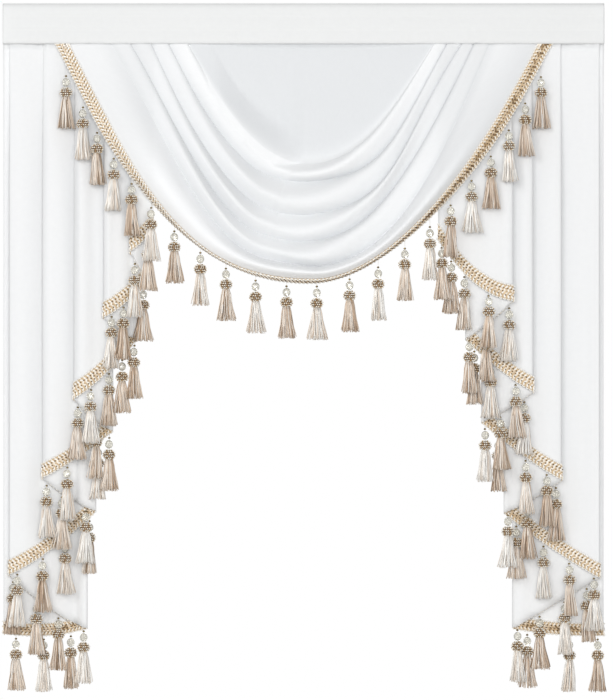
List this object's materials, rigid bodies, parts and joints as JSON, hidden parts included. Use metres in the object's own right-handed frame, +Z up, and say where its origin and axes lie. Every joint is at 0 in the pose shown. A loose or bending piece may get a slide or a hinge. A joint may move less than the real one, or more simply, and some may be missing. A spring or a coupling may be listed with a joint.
{
  "type": "waterfall valance",
  "caption": "Sheer white waterfall valance: a rod sleeve, a swag in soft hanging rolls and two cascading pleated tails, edged with looped braid and beaded tassels.",
  "frame": {"origin": "middle of the top edge of the rod sleeve", "axes": "+Z up, +X to the viewer's right along the sleeve, -Y towards the viewer"},
  "size_m": [1.0027, 0.1282, 1.1459],
  "materials": {
    "cloth": "sheer matt",
    "trim": "woven, slightly lustrous"
  },
  "bodies": {
    "root": {"header_sleeve": "cloth", "swag": "cloth", "tail_left": "cloth", "tail_right": "cloth", "swag_trim": "trim", "tail_left_trim": "trim", "tail_right_trim": "trim"}
  },
  "joints": []
}
